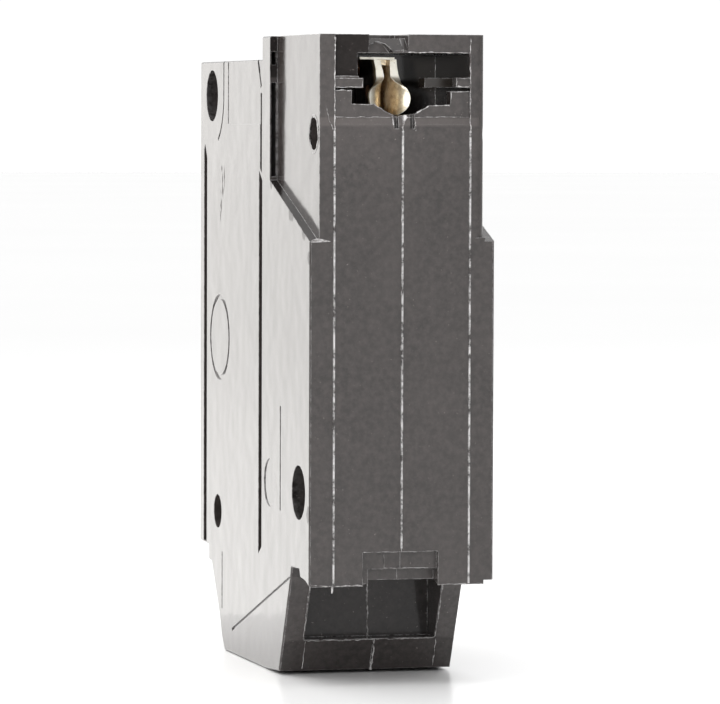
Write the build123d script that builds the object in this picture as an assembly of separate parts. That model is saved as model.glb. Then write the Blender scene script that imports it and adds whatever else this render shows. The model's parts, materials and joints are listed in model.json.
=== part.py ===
from build123d import *
from math import atan2, cos, degrees, hypot, radians, sin
import os

# One-pole plug-in circuit breaker.
# X runs across the pole, +Y points to the panel (back), -Y to the handle (front), +Z to the line jaw.
# Everything is drawn from a datum on the lower edge of the back face, at mid width, and moved at the
# end so that the origin lies under the middle of the part's box, on the surface that it stands on.

# ---- driving dimensions (mm) ----
POLE_WIDTH = 25.4
HALF_WIDTH = POLE_WIDTH / 2
STEP_HALF_FRONT = 11.65
STEP_HALF_BACK = 11.4
FOOT_HALF_LEFT = 11.4
FRONT_Y = -64.65
FRONT_TOP_Z = 70.15
LINE_TOP_Z = 73.3
TALL_Y = -27.0
BASE_Z = -13.4
RIM_HEIGHT = 0.12
EDGE_BREAK = 0.2
ROUND_R = 1.5

CAVITY_HALF = 9.3
WALL = 2.4

HANDLE_Y = -56.0
HANDLE_Z = 38.5
HANDLE_TRAVEL = 32.0
BLADE_TRAVEL = 62.0
FORK_REACH = 10.9

RUN = 0.05
GAP = 0.3


def slab(points, x0, x1):
    """A plate drawn in the side view (Y, Z), from x0 to x1."""
    outline = make_face(Polyline(*points, close=True))
    return extrude(Plane.YZ.offset(x0) * outline, amount=x1 - x0)


def tile(points, y0, y1):
    """A plate drawn in the front view (X, Z), from y0 to y1."""
    outline = make_face(Polyline(*points, close=True))
    return extrude(Plane.XZ.offset(-y1) * outline, amount=y1 - y0)


def layer(points, z0, z1):
    """A plate drawn in the top view (X, Y), from z0 to z1."""
    outline = make_face(Polyline(*points, close=True))
    return extrude(Plane.XY.offset(z0) * outline, amount=z1 - z0)


def block(x0, x1, y0, y1, z0, z1):
    centre = Pos((x0 + x1) / 2, (y0 + y1) / 2, (z0 + z1) / 2)
    return centre * Box(x1 - x0, y1 - y0, z1 - z0)


def rod_x(y, z, radius, x0, x1):
    return extrude(Plane.YZ.offset(x0) * Pos(y, z) * Circle(radius), amount=x1 - x0)


def rod_y(x, z, radius, y0, y1):
    return extrude(Plane.XZ.offset(-y1) * Pos(x, z) * Circle(radius), amount=y1 - y0)


def rod_z(x, y, radius, z0, z1):
    return extrude(Plane.XY.offset(z0) * Pos(x, y) * Circle(radius), amount=z1 - z0)


def strip(points, thickness, x0, x1):
    """A bent strip: a line in the side view (Y, Z), given a thickness and a width."""
    line = Polyline(*points)
    return extrude(Plane.YZ.offset(x0) * trace(line, thickness), amount=x1 - x0)


def turned(shape, y, z, angle):
    """The shape turned about an axis along X through (y, z)."""
    return Pos(0, y, z) * Rot(X=angle) * Pos(0, -y, -z) * shape


def both_sides(make):
    """The same feature on the right (+1) and on the left (-1)."""
    return [make(side) for side in (1, -1)]


def x_span(side, near, far):
    """The two X values, in rising order, of a feature between two distances from mid width."""
    return tuple(sorted((side * near, side * far)))


# ---- case ----
RIVETS_LARGE = [(-57.4, 65.3), (-5.8, 12.2)]
RIVETS_SMALL = [(-53.4, 6.1), (-3.1, 60.1)]
LARGE_SINK = 3.65
SMALL_SINK = 2.4
SINK_FLOOR = 8.2
RIVET_SHANK = 1.3
JAW_ROOM_FRONT = -17.5
BACK_WALL = 2.2
SCREW_Z = -3.5
ACCESS_R = 4.2
WIRE_Y = -33.4
WIRE_R = 3.7
NOSE_Y = -69.0
NOSE_HALF = 10.4
NOSE_HALF_HEIGHT = 18.0
PIVOT_R = 2.5
ROTOR_R = 11.8
HANDLE_HALF = 5.1
BOSS_HALF = 5.6
BORE_END = 10.9


def case_profile():
    """The outline of the whole case in the side view."""
    return [
        (FRONT_Y, FRONT_TOP_Z),
        (TALL_Y, FRONT_TOP_Z),
        (TALL_Y, LINE_TOP_Z),
        (0, LINE_TOP_Z),
        (0, 0),
        (-2.1, 0.6),
        (-4.8, 0.85),
        (-5.4, 1.9),
        (-9.7, 1.8),
        (-10.1, 0.5),
        (-16.6, -12.9),
        (-24.0, BASE_Z),
        (-48.9, BASE_Z),
        (-50.8, -11.5),
        (-52.2, -8.5),
        (-55.9, -3.3),
        (-57.2, -1.5),
        (-59.1, -1.35),
        (-59.1, 0.8),
        (FRONT_Y, 1.0),
    ]


def cavity_profile():
    """The outline of the mechanism's room in the side view."""
    front = FRONT_Y + WALL + 0.4
    return [
        (front, FRONT_TOP_Z - WALL),
        (front, 3.4),
        (-45.0, 3.4),
        (-45.0, BASE_Z + WALL),
        (-20.3, BASE_Z + WALL),
        (-20.3, 3.6),
        (-12.5, 5.2),
        (-3.2, 8.0),
        (-3.2, 58.0),
        (-6.5, 60.6),
        (JAW_ROOM_FRONT - 1.5, 60.6),
        (JAW_ROOM_FRONT - 1.5, FRONT_TOP_Z - WALL),
    ]


# ---- details of the outside faces ----
VENT_IN = 11.85
VENT_OUT = 12.5
VENT_FRONT_Y = -25.4
VENT_LOW_Z = (54.2, 67.0)
VENT_HIGH_Z = (69.4, 71.2)
GROOVE_DEPTH = 0.9
LINE_DEPTH = 0.5
PANEL_DEPTH = 0.06
ARC_R = 7.3
ARC_HALF = 0.25
SLOTS_X = (-1.3, 0.9)
SLOT_HALF = 0.3
RIDGES_X = (-9.3, 0, 9.35)
RIDGE_HALF = 0.11


def step_cut(side):
    """The relief of the line end: a drafted face behind a wall with two vents in it."""
    top = LINE_TOP_Z + 1
    outline = [(-22.5, top), (-22.5, 53.7), (-10.4, 49.5), (-3.7, 47.1), (1, 45.5), (1, top)]
    relief = slab(outline, *x_span(side, STEP_HALF_BACK - 1, HALF_WIDTH + 1))
    drafted = [
        (side * STEP_HALF_FRONT, -23.0),
        (side * STEP_HALF_BACK, 1.0),
        (side * (HALF_WIDTH + 1), 1.0),
        (side * (HALF_WIDTH + 1), -23.0),
    ]
    relief = relief & layer(drafted, 40, top)
    for low, high in (VENT_LOW_Z, VENT_HIGH_Z):
        relief += block(*x_span(side, VENT_IN, VENT_OUT), VENT_FRONT_Y, -22.2, low, high)
    if side < 0:
        edge_x = -STEP_HALF_BACK + ROUND_R
        corner = block(-STEP_HALF_BACK - 1, edge_x, -ROUND_R, 1, 46.3, top)
        relief += corner - rod_z(edge_x, -ROUND_R, ROUND_R, 46, top + 1)
    return relief


def side_grooves(side):
    """The long grooves and the lines round the top front boss, cut in one side face."""
    groove_floor = HALF_WIDTH - GROOVE_DEPTH
    line_floor = HALF_WIDTH - LINE_DEPTH
    out = HALF_WIDTH + 1
    long_groove = [(-28.7, 55.0), (-26.8, 53.6), (-26.8, 3.2), (-28.7, 2.1)]
    front_groove = [(-62.4, 57.6), (-61.8, 58.5), (-60.5, 56.4), (-60.5, 1.2), (-62.4, 1.2)]
    thin_groove = [(-28.1, 65.6), (-27.1, 65.6), (-27.1, 54.6), (-28.1, 55.2)]
    slanted = [(-30.6, FRONT_TOP_Z + 1), (-29.8, FRONT_TOP_Z + 1), (-27.2, 66.6), (-27.9, 66.2)]
    cuts = [slab(long_groove, *x_span(side, groove_floor, out))]
    cuts.append(slab(front_groove, *x_span(side, groove_floor, out)))
    cuts.append(slab(thin_groove, *x_span(side, groove_floor, out)))
    cuts.append(slab(slanted, *x_span(side, line_floor, out)))
    boss_y, boss_z = RIVETS_LARGE[0]
    ring = rod_x(boss_y, boss_z, ARC_R + ARC_HALF, *x_span(side, line_floor, out))
    ring -= rod_x(boss_y, boss_z, ARC_R - ARC_HALF, *x_span(side, line_floor, out))
    sector = [
        (boss_y, boss_z),
        (boss_y + 12, boss_z),
        (boss_y + 12, boss_z - 20),
    ]
    ring = ring & slab(sector, *x_span(side, line_floor, out))
    cuts.append(ring)
    arc_low = boss_y + ARC_R - ARC_HALF
    arc_high = boss_y + ARC_R + ARC_HALF
    cuts.append(block(*x_span(side, line_floor, out), arc_low, arc_high, boss_z, LINE_TOP_Z))
    panel = block(*x_span(side, HALF_WIDTH - PANEL_DEPTH, out), -47.5, -28.1, 61.3, LINE_TOP_Z)
    cuts.append(panel)
    return cuts


def side_marks():
    """Plain mould features that only the right side carries."""
    out = HALF_WIDTH + 1
    shallow = HALF_WIDTH - 0.2
    ring_y, ring_z = -52.3, 31.0
    ring = rod_x(ring_y, ring_z, 6.1, shallow, out) - rod_x(ring_y, ring_z, 5.4, shallow, out)
    ejector = rod_x(-22.1, 12.4, 3.3, HALF_WIDTH - 0.12, out)
    gauge = block(shallow, out, -50.8, -50.4, -7.6, 0.5)
    bar = block(shallow, out, -16.3, -15.8, 9.0, 23.2)
    scribed = [(-44.5, -9.8), (-10.5, 0.6), (-10.4, 0.2), (-44.3, -10.2)]
    return [ring, ejector, gauge, bar, slab(scribed, shallow, out)]


def jaw_window():
    """The opening in the back wall in front of the jaw, drawn in the back view."""
    return [
        (6.0, 70.85),
        (-CAVITY_HALF, 70.85),
        (-CAVITY_HALF, 67.6),
        (-7.4, 67.6),
        (-7.4, 66.3),
        (-CAVITY_HALF, 66.3),
        (-CAVITY_HALF, 65.8),
        (-6.6, 65.8),
        (-6.6, 63.97),
        (-3.7, 63.9),
        (-2.5, 63.1),
        (-1.8, 62.8),
        (0.8, 62.45),
        (2.25, 63.05),
        (3.9, 64.05),
        (6.95, 64.05),
        (6.95, 65.9),
        (CAVITY_HALF, 65.9),
        (CAVITY_HALF, 66.2),
        (5.4, 66.2),
        (5.4, 67.5),
        (6.0, 67.5),
    ]


def line_end_cuts():
    """The jaw's room, its window, and the set-back faces round the window."""
    room = block(-CAVITY_HALF, CAVITY_HALF, JAW_ROOM_FRONT, -BACK_WALL, 62.2, 70.85)
    window = tile(jaw_window(), -BACK_WALL - 0.1, 1)
    slit_half = STRAP_HALF + GAP
    slit_low = FRONT_TOP_Z - WALL - RUN
    slit_high = BRIDGE_TOP_Z + GAP
    slit = block(-slit_half, slit_half, JAW_ROOM_FRONT - 5, JAW_ROOM_FRONT + 0.5, slit_low, slit_high)
    corner = block(4.4, CAVITY_HALF, -1.0, 1, 67.75, LINE_TOP_Z + 1)
    facet = [(0.3, 70.9), (-1.9, 72.75), (-7.0, 72.75), (-7.0, 74.5), (0.3, 74.5)]
    notch = slab(facet, -0.7, 4.4)
    throat_view = [(1.3, 70.8), (4.45, 70.8), (4.45, 71.8), (3.3, 72.35), (2.2, 72.0)]
    throat = tile(throat_view, -BACK_WALL - 0.1, 1)
    bend = [(0.1, 61.1), (-0.3, 62.3), (-0.3, 67.75), (1, 67.75), (1, 61.1)]
    rim = slab(bend, -CAVITY_HALF, CAVITY_HALF)
    slots = [block(x - SLOT_HALF, x + SLOT_HALF, -0.9, 1, 60.8, 62.9) for x in SLOTS_X]
    return [room, window, slit, corner, notch, throat, rim] + slots


def foot_cuts():
    """The recess between the foot's two walls, the notch in the lip, and the left foot's inset."""
    recess = block(-8.6, 9.7, -18.0, -5.4, -8.5, 1.85)
    notch = block(-5.05, 5.3, -0.8, 1, -1, 4.5)
    deeper = block(-5.05, 4.4, -2.4, 1, -1, 2.2)
    inset_line = [(1, 0.55), (-9.9, 0.55), (-12.5, 1.9), (-47, 1.9), (-47, -20), (1, -20)]
    inset = slab(inset_line, -HALF_WIDTH - 1, -FOOT_HALF_LEFT)
    return [recess, notch, deeper, inset]


def bosses():
    """Solid columns inside the case round the rivets and the pivots."""
    columns = []
    for (y, z), radius in zip(RIVETS_LARGE + RIVETS_SMALL, (5.0, 5.2, 4.2, 4.0)):
        columns.append(rod_x(y, z, radius, -HALF_WIDTH + 1.5, HALF_WIDTH - 1.5))
    for side in (1, -1):
        columns.append(rod_x(HANDLE_Y, HANDLE_Z, 5.0, *x_span(side, BOSS_HALF, CAVITY_HALF + 1)))
        columns.append(rod_x(CRADLE_Y, CRADLE_Z, 3.0, *x_span(side, 2.8, CAVITY_HALF + 1)))
        columns.append(rod_x(HINGE_Y, HINGE_Z, 2.6, *x_span(side, 5.0, CAVITY_HALF + 1)))
        columns.append(block(*x_span(side, 6.3, CAVITY_HALF + 1), -44.0, -26.2, -12.0, 3.0))
        columns.append(block(*x_span(side, 3.3, CAVITY_HALF + 1), -23.5, -19.0, 61.5, 67.9))
    return columns


def case_body():
    """The whole closed case, before it is parted at mid width."""
    body = slab(case_profile(), -HALF_WIDTH, HALF_WIDTH)
    rims = body.edges().group_by(Axis.X)
    body = chamfer(rims[0] + rims[-1], EDGE_BREAK)
    nose_low = HANDLE_Z - NOSE_HALF_HEIGHT
    nose_high = HANDLE_Z + NOSE_HALF_HEIGHT
    nose = block(-NOSE_HALF, NOSE_HALF, NOSE_Y, FRONT_Y + 1, nose_low, nose_high)
    nose = fillet(nose.edges().group_by(Axis.Y)[0], 1.2)
    body += nose
    for side in (1, -1):
        body -= step_cut(side)
        for cut in side_grooves(side):
            body -= cut
    for cut in side_marks():
        body -= cut
    shelf = block(-CAVITY_HALF - 0.5, -4.2, -7.4, -4.6, 66.3, 67.6)
    room = slab(cavity_profile(), -CAVITY_HALF, CAVITY_HALF)
    for column in bosses():
        room -= column
    body -= room
    for cut in line_end_cuts() + foot_cuts():
        body -= cut
    for y, z in RIVETS_LARGE + RIVETS_SMALL:
        radius = LARGE_SINK if (y, z) in RIVETS_LARGE else SMALL_SINK
        body -= rod_x(y, z, RIVET_SHANK + RUN, -HALF_WIDTH, HALF_WIDTH)
        for side in (1, -1):
            body -= rod_x(y, z, radius, *x_span(side, SINK_FLOOR, HALF_WIDTH + 1))
    for side in (1, -1):
        body -= rod_x(HANDLE_Y, HANDLE_Z, PIVOT_R + RUN, *x_span(side, 0, BORE_END))
        body -= rod_x(CRADLE_Y, CRADLE_Z, CRADLE_PIN_R + RUN, *x_span(side, 0, BORE_END))
        body -= rod_x(HINGE_Y, HINGE_Z, HINGE_PIN_R + RUN, *x_span(side, 0, BORE_END))
    body -= rod_x(HANDLE_Y, HANDLE_Z, ROTOR_R + GAP, -HANDLE_HALF - GAP, HANDLE_HALF + GAP)
    slot_half = 7.6
    body -= block(
        -HANDLE_HALF - GAP,
        HANDLE_HALF + GAP,
        NOSE_Y - 1,
        HANDLE_Y,
        HANDLE_Z - slot_half,
        HANDLE_Z + slot_half,
    )
    body += shelf
    body -= rod_y(0, SCREW_Z, ACCESS_R, -70, -44.5)
    body -= rod_z(0, WIRE_Y, WIRE_R, BASE_Z - 1, BASE_Z + WALL + 1)
    for x in RIDGES_X:
        low = 5.0 if x == 0 else 0.2
        body += block(x - RIDGE_HALF, x + RIDGE_HALF, -0.5, RIM_HEIGHT, low, 60.5)
    return body


# ---- handle and contact arm ----
LUG_R = 1.2
EAR_IN = 1.6
EAR_OUT = 2.5
FORK_SLOT = 2.7
BLADE_TOP_Z = 52.0
BLADE_THICKNESS = 1.5
CONTACT_Y = -25.5
CONTACT_R = 2.2
CONTACT_HEIGHT = 1.0
CONTACT_GAP = 0.2

half_travel = HANDLE_TRAVEL / 2
fork_off_y = HANDLE_Y + FORK_REACH * cos(radians(half_travel))
fork_off_z = HANDLE_Z + FORK_REACH * sin(radians(half_travel))
fork_on_y = fork_off_y
fork_on_z = HANDLE_Z - FORK_REACH * sin(radians(half_travel))
blade_swing = BLADE_TRAVEL - HANDLE_TRAVEL


def handle():
    """The toggle, drawn straight out and then turned down to off."""
    rotor = rod_x(HANDLE_Y, HANDLE_Z, ROTOR_R, -HANDLE_HALF, HANDLE_HALF)
    reach = 30
    spread = radians(58)
    window = [
        (HANDLE_Y, HANDLE_Z),
        (HANDLE_Y - reach * cos(spread), HANDLE_Z + reach * sin(spread)),
        (HANDLE_Y - reach, HANDLE_Z + reach * sin(spread)),
        (HANDLE_Y - reach, HANDLE_Z - reach * sin(spread)),
        (HANDLE_Y - reach * cos(spread), HANDLE_Z - reach * sin(spread)),
    ]
    body = rotor & slab(window, -HANDLE_HALF, HANDLE_HALF)
    body += rod_x(HANDLE_Y, HANDLE_Z, 5.4, -HANDLE_HALF, HANDLE_HALF)
    fork_y = HANDLE_Y + FORK_REACH
    leg_half = 2.4
    body += block(
        -HANDLE_HALF, HANDLE_HALF, HANDLE_Y, fork_y, HANDLE_Z - leg_half, HANDLE_Z + leg_half
    )
    body += rod_x(fork_y, HANDLE_Z, leg_half, -HANDLE_HALF, HANDLE_HALF)
    body -= block(-FORK_SLOT, FORK_SLOT, HANDLE_Y + 2.4, fork_y + 5, HANDLE_Z - 12, HANDLE_Z + 12)
    for side in (1, -1):
        body += rod_x(HANDLE_Y, HANDLE_Z, PIVOT_R, *x_span(side, HANDLE_HALF - 1, BORE_END - GAP))
    tip_y = HANDLE_Y - 19.3
    root_y = HANDLE_Y - ROTOR_R + 1.0
    lever = slab(
        [
            (root_y, HANDLE_Z + 3.4),
            (root_y, HANDLE_Z - 3.4),
            (tip_y, HANDLE_Z - 2.1),
            (tip_y, HANDLE_Z + 2.1),
        ],
        -HANDLE_HALF,
        HANDLE_HALF,
    )
    lever = fillet(lever.edges().group_by(Axis.Y)[0], 0.8)
    body += lever
    body -= rod_x(fork_y, HANDLE_Z, LUG_R + RUN, -HANDLE_HALF - 1, HANDLE_HALF + 1)
    return turned(body, HANDLE_Y, HANDLE_Z, half_travel)


def blade_to_off(shape):
    """Takes a shape drawn with the contacts closed to the open position."""
    opened = turned(shape, fork_on_y, fork_on_z, -blade_swing)
    return Pos(0, fork_off_y - fork_on_y, fork_off_z - fork_on_z) * opened


def contact_arm():
    """The blade, drawn closed: two ears with lugs, a bent strip, and a tab for the spring."""
    top = BLADE_TOP_Z
    mid = top - BLADE_THICKNESS / 2
    bend = [(fork_on_y + 3.4, fork_on_z + 6.2), (-36.5, mid - 0.3), (-31.5, mid), (-22.6, mid)]
    body = strip(bend, BLADE_THICKNESS, -EAR_OUT, EAR_OUT)
    ear = [
        (fork_on_y - 0.6, fork_on_z - 1.9),
        (fork_on_y + 1.9, fork_on_z - 0.6),
        (fork_on_y + 5.4, fork_on_z + 5.8),
        (fork_on_y + 6.4, fork_on_z + 9.6),
        (fork_on_y + 3.2, fork_on_z + 7.0),
        (fork_on_y - 1.8, fork_on_z + 0.8),
    ]
    for side in (1, -1):
        span = x_span(side, EAR_IN, EAR_OUT)
        body += slab(ear, *span)
        body += rod_x(fork_on_y, fork_on_z, 1.9, *span)
        body += rod_x(fork_on_y, fork_on_z, LUG_R, *x_span(side, EAR_IN, HANDLE_HALF - 0.1))
    tab = [
        (-33.6, mid),
        (-30.8, mid),
        (-31.2, SPRING_ARM_Z - 0.4),
        (-33.2, SPRING_ARM_Z - 0.4),
    ]
    body += slab(tab, -0.45, 0.45)
    body -= rod_x(SPRING_ARM_Y, SPRING_ARM_Z + 0.9, 0.55, -1, 1)
    return blade_to_off(body)


def moving_contact():
    button = rod_z(0, CONTACT_Y, CONTACT_R, BLADE_TOP_Z, BLADE_TOP_Z + CONTACT_HEIGHT)
    button = fillet(button.edges().group_by(Axis.Z)[-1], 0.3)
    return blade_to_off(button)


# ---- line side ----
STRAP_BOTTOM_Z = BLADE_TOP_Z + 2 * CONTACT_HEIGHT + CONTACT_GAP
STRAP_THICKNESS = 0.9
STRAP_HALF = 2.2
BRIDGE_TOP_Z = 70.05
BRIDGE_FRONT = -16.6


def fixed_contact():
    low = BLADE_TOP_Z + CONTACT_HEIGHT + CONTACT_GAP
    button = rod_z(0, CONTACT_Y, CONTACT_R, low, STRAP_BOTTOM_Z)
    return fillet(button.edges().group_by(Axis.Z)[0], 0.3)


def line_strap():
    """From the jaw's bridge through the room's wall and down to the fixed contact."""
    mid_low = STRAP_BOTTOM_Z + STRAP_THICKNESS / 2
    mid_high = BRIDGE_TOP_Z - STRAP_THICKNESS / 2
    path = [(BRIDGE_FRONT, mid_high), (-21.2, mid_high), (-21.2, mid_low), (-28.6, mid_low)]
    return strip(path, STRAP_THICKNESS, -STRAP_HALF, STRAP_HALF)


def line_jaw():
    """A folded brass jaw: two thick fingers under one bridge, their lower mouths flared round."""
    gap, sheet = 0.4, 1.1
    mouth_y = -8.3
    foot_z, shoulder_z = 62.45, 66.6
    bulb_half = 2.9
    flange_thickness = 0.35
    middle = gap + sheet / 2
    height = BRIDGE_TOP_Z - foot_z
    outline = Pos(0, (foot_z + shoulder_z) / 2) * RectangleRounded(
        2 * bulb_half, shoulder_z - foot_z, 1.95
    )
    bulb = extrude(Plane.XZ.offset(5) * outline, amount=15)
    jaw = block(-gap - sheet, gap + sheet, BRIDGE_FRONT, -10.6, BRIDGE_TOP_Z - 0.8, BRIDGE_TOP_Z)
    for side in (1, -1):
        jaw += block(*x_span(side, gap, gap + sheet), BRIDGE_FRONT, mouth_y, foot_z, BRIDGE_TOP_Z)
        start = (side * middle, -11.2)
        bend = (side * (middle + 0.35), -9.6)
        tip = (side * (bulb_half - 0.5), mouth_y)
        flare = extrude(
            Plane.XY.offset(foot_z) * trace([ThreePointArc(start, bend, tip)], sheet),
            amount=height,
        )
        jaw += flare & bulb
    jaw += block(-1.0, 3.9, -11.0, mouth_y, BRIDGE_TOP_Z, BRIDGE_TOP_Z + flange_thickness)
    return jaw


def jaw_spring():
    """A steel clip round the inner end and the outsides of the fingers."""
    inner, sheet = 1.55, 0.5
    clip = block(-inner - sheet, inner + sheet, -17.2, -11.6, 63.2, 66.6)
    return clip - block(-inner, inner, -16.7, -11, 63, 67)


# ---- trip system ----
CRADLE_Y, CRADLE_Z = -47.5, 60.0
CRADLE_PIN_R = 1.2
SPRING_CRADLE_Y, SPRING_CRADLE_Z = -49.6, 38.0
SPRING_ARM_Y, SPRING_ARM_Z = -32.2, 46.2
LATCH_Z = 17.2
HINGE_Y, HINGE_Z = -15.4, 17.8
HINGE_PIN_R = 0.8
ARMATURE_THICKNESS = 1.2
BIMETAL_Z = 8.8


def cradle():
    """A flat lever from its pivot, through the handle's fork, to the latch tip."""
    half = 0.6
    outline = [
        (-49.6, 60.0),
        (-52.0, 44.0),
        (-51.6, 34.0),
        (-48.6, 24.0),
        (-45.1, 18.1),
        (-43.9, 18.1),
        (-43.6, 18.8),
        (-45.8, 25.0),
        (-48.2, 34.5),
        (-48.6, 43.0),
        (-45.4, 60.0),
    ]
    body = slab(outline, -half, half)
    body += rod_x(CRADLE_Y, CRADLE_Z, 2.4, -2.5, 2.5)
    body -= rod_x(CRADLE_Y, CRADLE_Z, CRADLE_PIN_R + RUN, -3, 3)
    return body - rod_x(SPRING_CRADLE_Y, SPRING_CRADLE_Z, 0.6, -1, 1)


def cradle_pin():
    return rod_x(CRADLE_Y, CRADLE_Z, CRADLE_PIN_R, -BORE_END + GAP, BORE_END - GAP)


def coil_spring(radius, wire, length, turns):
    """A coil along +Z with its lower end at the origin."""
    path = Helix(pitch=(length - wire) / turns, height=length - wire, radius=radius)
    section = Plane(origin=path @ 0, z_dir=path % 0) * Circle(wire / 2)
    return Pos(0, 0, wire / 2) * sweep(section, path=path, is_frenet=True)


def over_centre_spring():
    """The toggle spring, between the cradle's hole and the blade's hole, with the blade open."""
    hook = blade_to_off(Pos(0, SPRING_ARM_Y, SPRING_ARM_Z + 0.9) * Box(0.1, 0.1, 0.1)).center()
    rise, run = hook.Z - SPRING_CRADLE_Z, hook.Y - SPRING_CRADLE_Y
    span = hypot(rise, run)
    end_gap = 1.9
    coil = coil_spring(0.95, 0.45, span - 2 * end_gap, 22)
    tilt = degrees(atan2(rise, run)) - 90
    start_y = SPRING_CRADLE_Y + end_gap * run / span
    start_z = SPRING_CRADLE_Z + end_gap * rise / span
    return Pos(0, start_y, start_z) * Rot(X=tilt) * coil


def armature():
    """The latch plate: a window at its free end, and a curl round the hinge pin."""
    top = LATCH_Z + ARMATURE_THICKNESS
    body = block(-4.4, 4.4, -48.2, HINGE_Y, LATCH_Z, top)
    body += rod_x(HINGE_Y, HINGE_Z, 1.7, -4.4, 4.4)
    body -= rod_x(HINGE_Y, HINGE_Z, HINGE_PIN_R + RUN, -6, 6)
    return body - block(-1.4, 1.4, -46.6, -41.8, LATCH_Z - 1, top + 1)


def armature_pin():
    return rod_x(HINGE_Y, HINGE_Z, HINGE_PIN_R, -BORE_END + GAP, BORE_END - GAP)


def armature_spring():
    low = BIMETAL_Z
    return Pos(3.1, -21.6, low) * coil_spring(0.8, 0.35, LATCH_Z - low - 0.05, 7)


def bimetal():
    return block(-2.0, 2.0, -46.0, -14.6, BIMETAL_Z, BIMETAL_Z + 1.0) - rod_z(
        0, -18.0, 1.05, BIMETAL_Z - 1, BIMETAL_Z + 2
    )


def bimetal_rivet():
    body = rod_z(0, -18.0, 1.0, BIMETAL_Z - 1.2, BIMETAL_Z + 1.0)
    body += rod_z(0, -18.0, 1.8, BIMETAL_Z + 1.0, BIMETAL_Z + 1.7)
    return body + rod_z(0, -18.0, 1.8, BIMETAL_Z - 1.9, BIMETAL_Z - 1.2)


def load_strap():
    """From under the bimetal's fixed end, down behind the terminal lug."""
    thickness = 1.2
    top = BIMETAL_Z - thickness / 2
    body = strip([(-14.6, top), (-26.8, top), (-26.8, -9.3)], thickness, -4.4, 4.4)
    body -= rod_z(0, -18.0, 1.05, BIMETAL_Z - 2, BIMETAL_Z + 1)
    return body - rod_z(0, -23.4, 1.05, BIMETAL_Z - 2, BIMETAL_Z + 1)


def calibration_screw():
    shank = rod_z(0, -23.4, 1.0, BIMETAL_Z - 2.6, BIMETAL_Z - 0.02)
    head = rod_z(0, -23.4, 1.7, BIMETAL_Z - 3.8, BIMETAL_Z - 2.6)
    return shank + head - block(-2, 2, -23.65, -23.15, BIMETAL_Z - 4, BIMETAL_Z - 3.3)


def magnet_yoke():
    """A steel U under the bimetal, open towards the armature."""
    channel = block(-5.4, 5.4, -40.0, -31.0, BIMETAL_Z - 1.2, 14.2)
    return channel - block(-4.2, 4.2, -41, -30, BIMETAL_Z, 20)


def flexible_braid():
    """A copper braid from the bimetal's free end, up beside the armature, to the blade."""
    points = [
        (1.2, -45.3, BIMETAL_Z + 2.05),
        (5.2, -45.3, BIMETAL_Z + 2.6),
        (6.9, -43.0, BIMETAL_Z + 7.0),
        (6.9, -38.0, 25.0),
        (6.4, -33.0, 36.0),
        (3.7, -30.0, 45.0),
    ]
    path = FilletPolyline(*points, radius=1.6)
    section = Plane(origin=path @ 0, z_dir=path % 0) * Circle(0.95)
    return sweep(section, path=path)


# ---- load terminal ----
LUG_FRONT = -43.0
LUG_BACK = -27.4
PLATE_Y = -37.4
SCREW_R = 1.95


def terminal_lug():
    """A box lug: the wire goes up through it, and the screw comes in from the front."""
    body = block(-6.0, 6.0, LUG_FRONT, LUG_BACK, -9.4, 2.4)
    body -= block(-3.5, 3.5, PLATE_Y - 0.1, LUG_BACK - 2.0, -10, 3)
    return body - rod_y(0, SCREW_Z, SCREW_R + RUN, LUG_FRONT - 1, PLATE_Y + 1)


def pressure_plate():
    return block(-3.3, 3.3, PLATE_Y, PLATE_Y + 1.4, -8.4, 1.4)


def terminal_screw():
    """A slotted cheese-head screw that bears on the pressure plate."""
    head_front = -53.2
    head_back = head_front + 2.6
    body = rod_y(0, SCREW_Z, SCREW_R, head_back, PLATE_Y - 0.02)
    head = rod_y(0, SCREW_Z, 3.5, head_front, head_back)
    head = chamfer(head.edges().group_by(Axis.Y)[0], 0.4)
    return body + head - block(-4, 4, head_front - 1, head_front + 1.2, SCREW_Z - 0.5, SCREW_Z + 0.5)


# ---- arc chute ----
def arc_plates():
    """Steel plates stacked along Z, each with a throat for the blade's tip."""
    group = []
    for level in range(5):
        z = 38.4 + 3.3 * level
        plate = block(-6.6, 6.6, -17.2, -6.2, z, z + 1.0)
        throat = layer([(-2.9, -18), (2.9, -18), (1.2, -10.5), (-1.2, -10.5)], z - 1, z + 2)
        group.append(plate - throat)
    return group


def arc_chute_sides():
    return both_sides(lambda side: block(*x_span(side, 6.65, 7.6), -17.6, -5.8, 36.6, 54.4))


# ---- rivets ----
def rivets(places, head_radius):
    """Tubular rivets with a rolled head at each end, sunk in the case."""
    group = []
    head = 0.9
    for y, z in places:
        body = rod_x(y, z, RIVET_SHANK, -SINK_FLOOR, SINK_FLOOR)
        for side in (1, -1):
            span = x_span(side, SINK_FLOOR, SINK_FLOOR + head)
            cap = rod_x(y, z, head_radius, *span)
            far_ring = cap.edges().group_by(Axis.X)[-1 if side > 0 else 0]
            body += fillet(far_ring, 0.5)
            body -= rod_x(y, z, 0.7, *x_span(side, SINK_FLOOR - 2, SINK_FLOOR + 2))
        group.append(body)
    return group


def case_halves():
    whole = case_body()
    reach = 200
    right = whole & block(0, reach, -reach, reach, -reach, reach)
    left = whole & block(-reach, 0, -reach, reach, -reach, reach)
    return right, left


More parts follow.
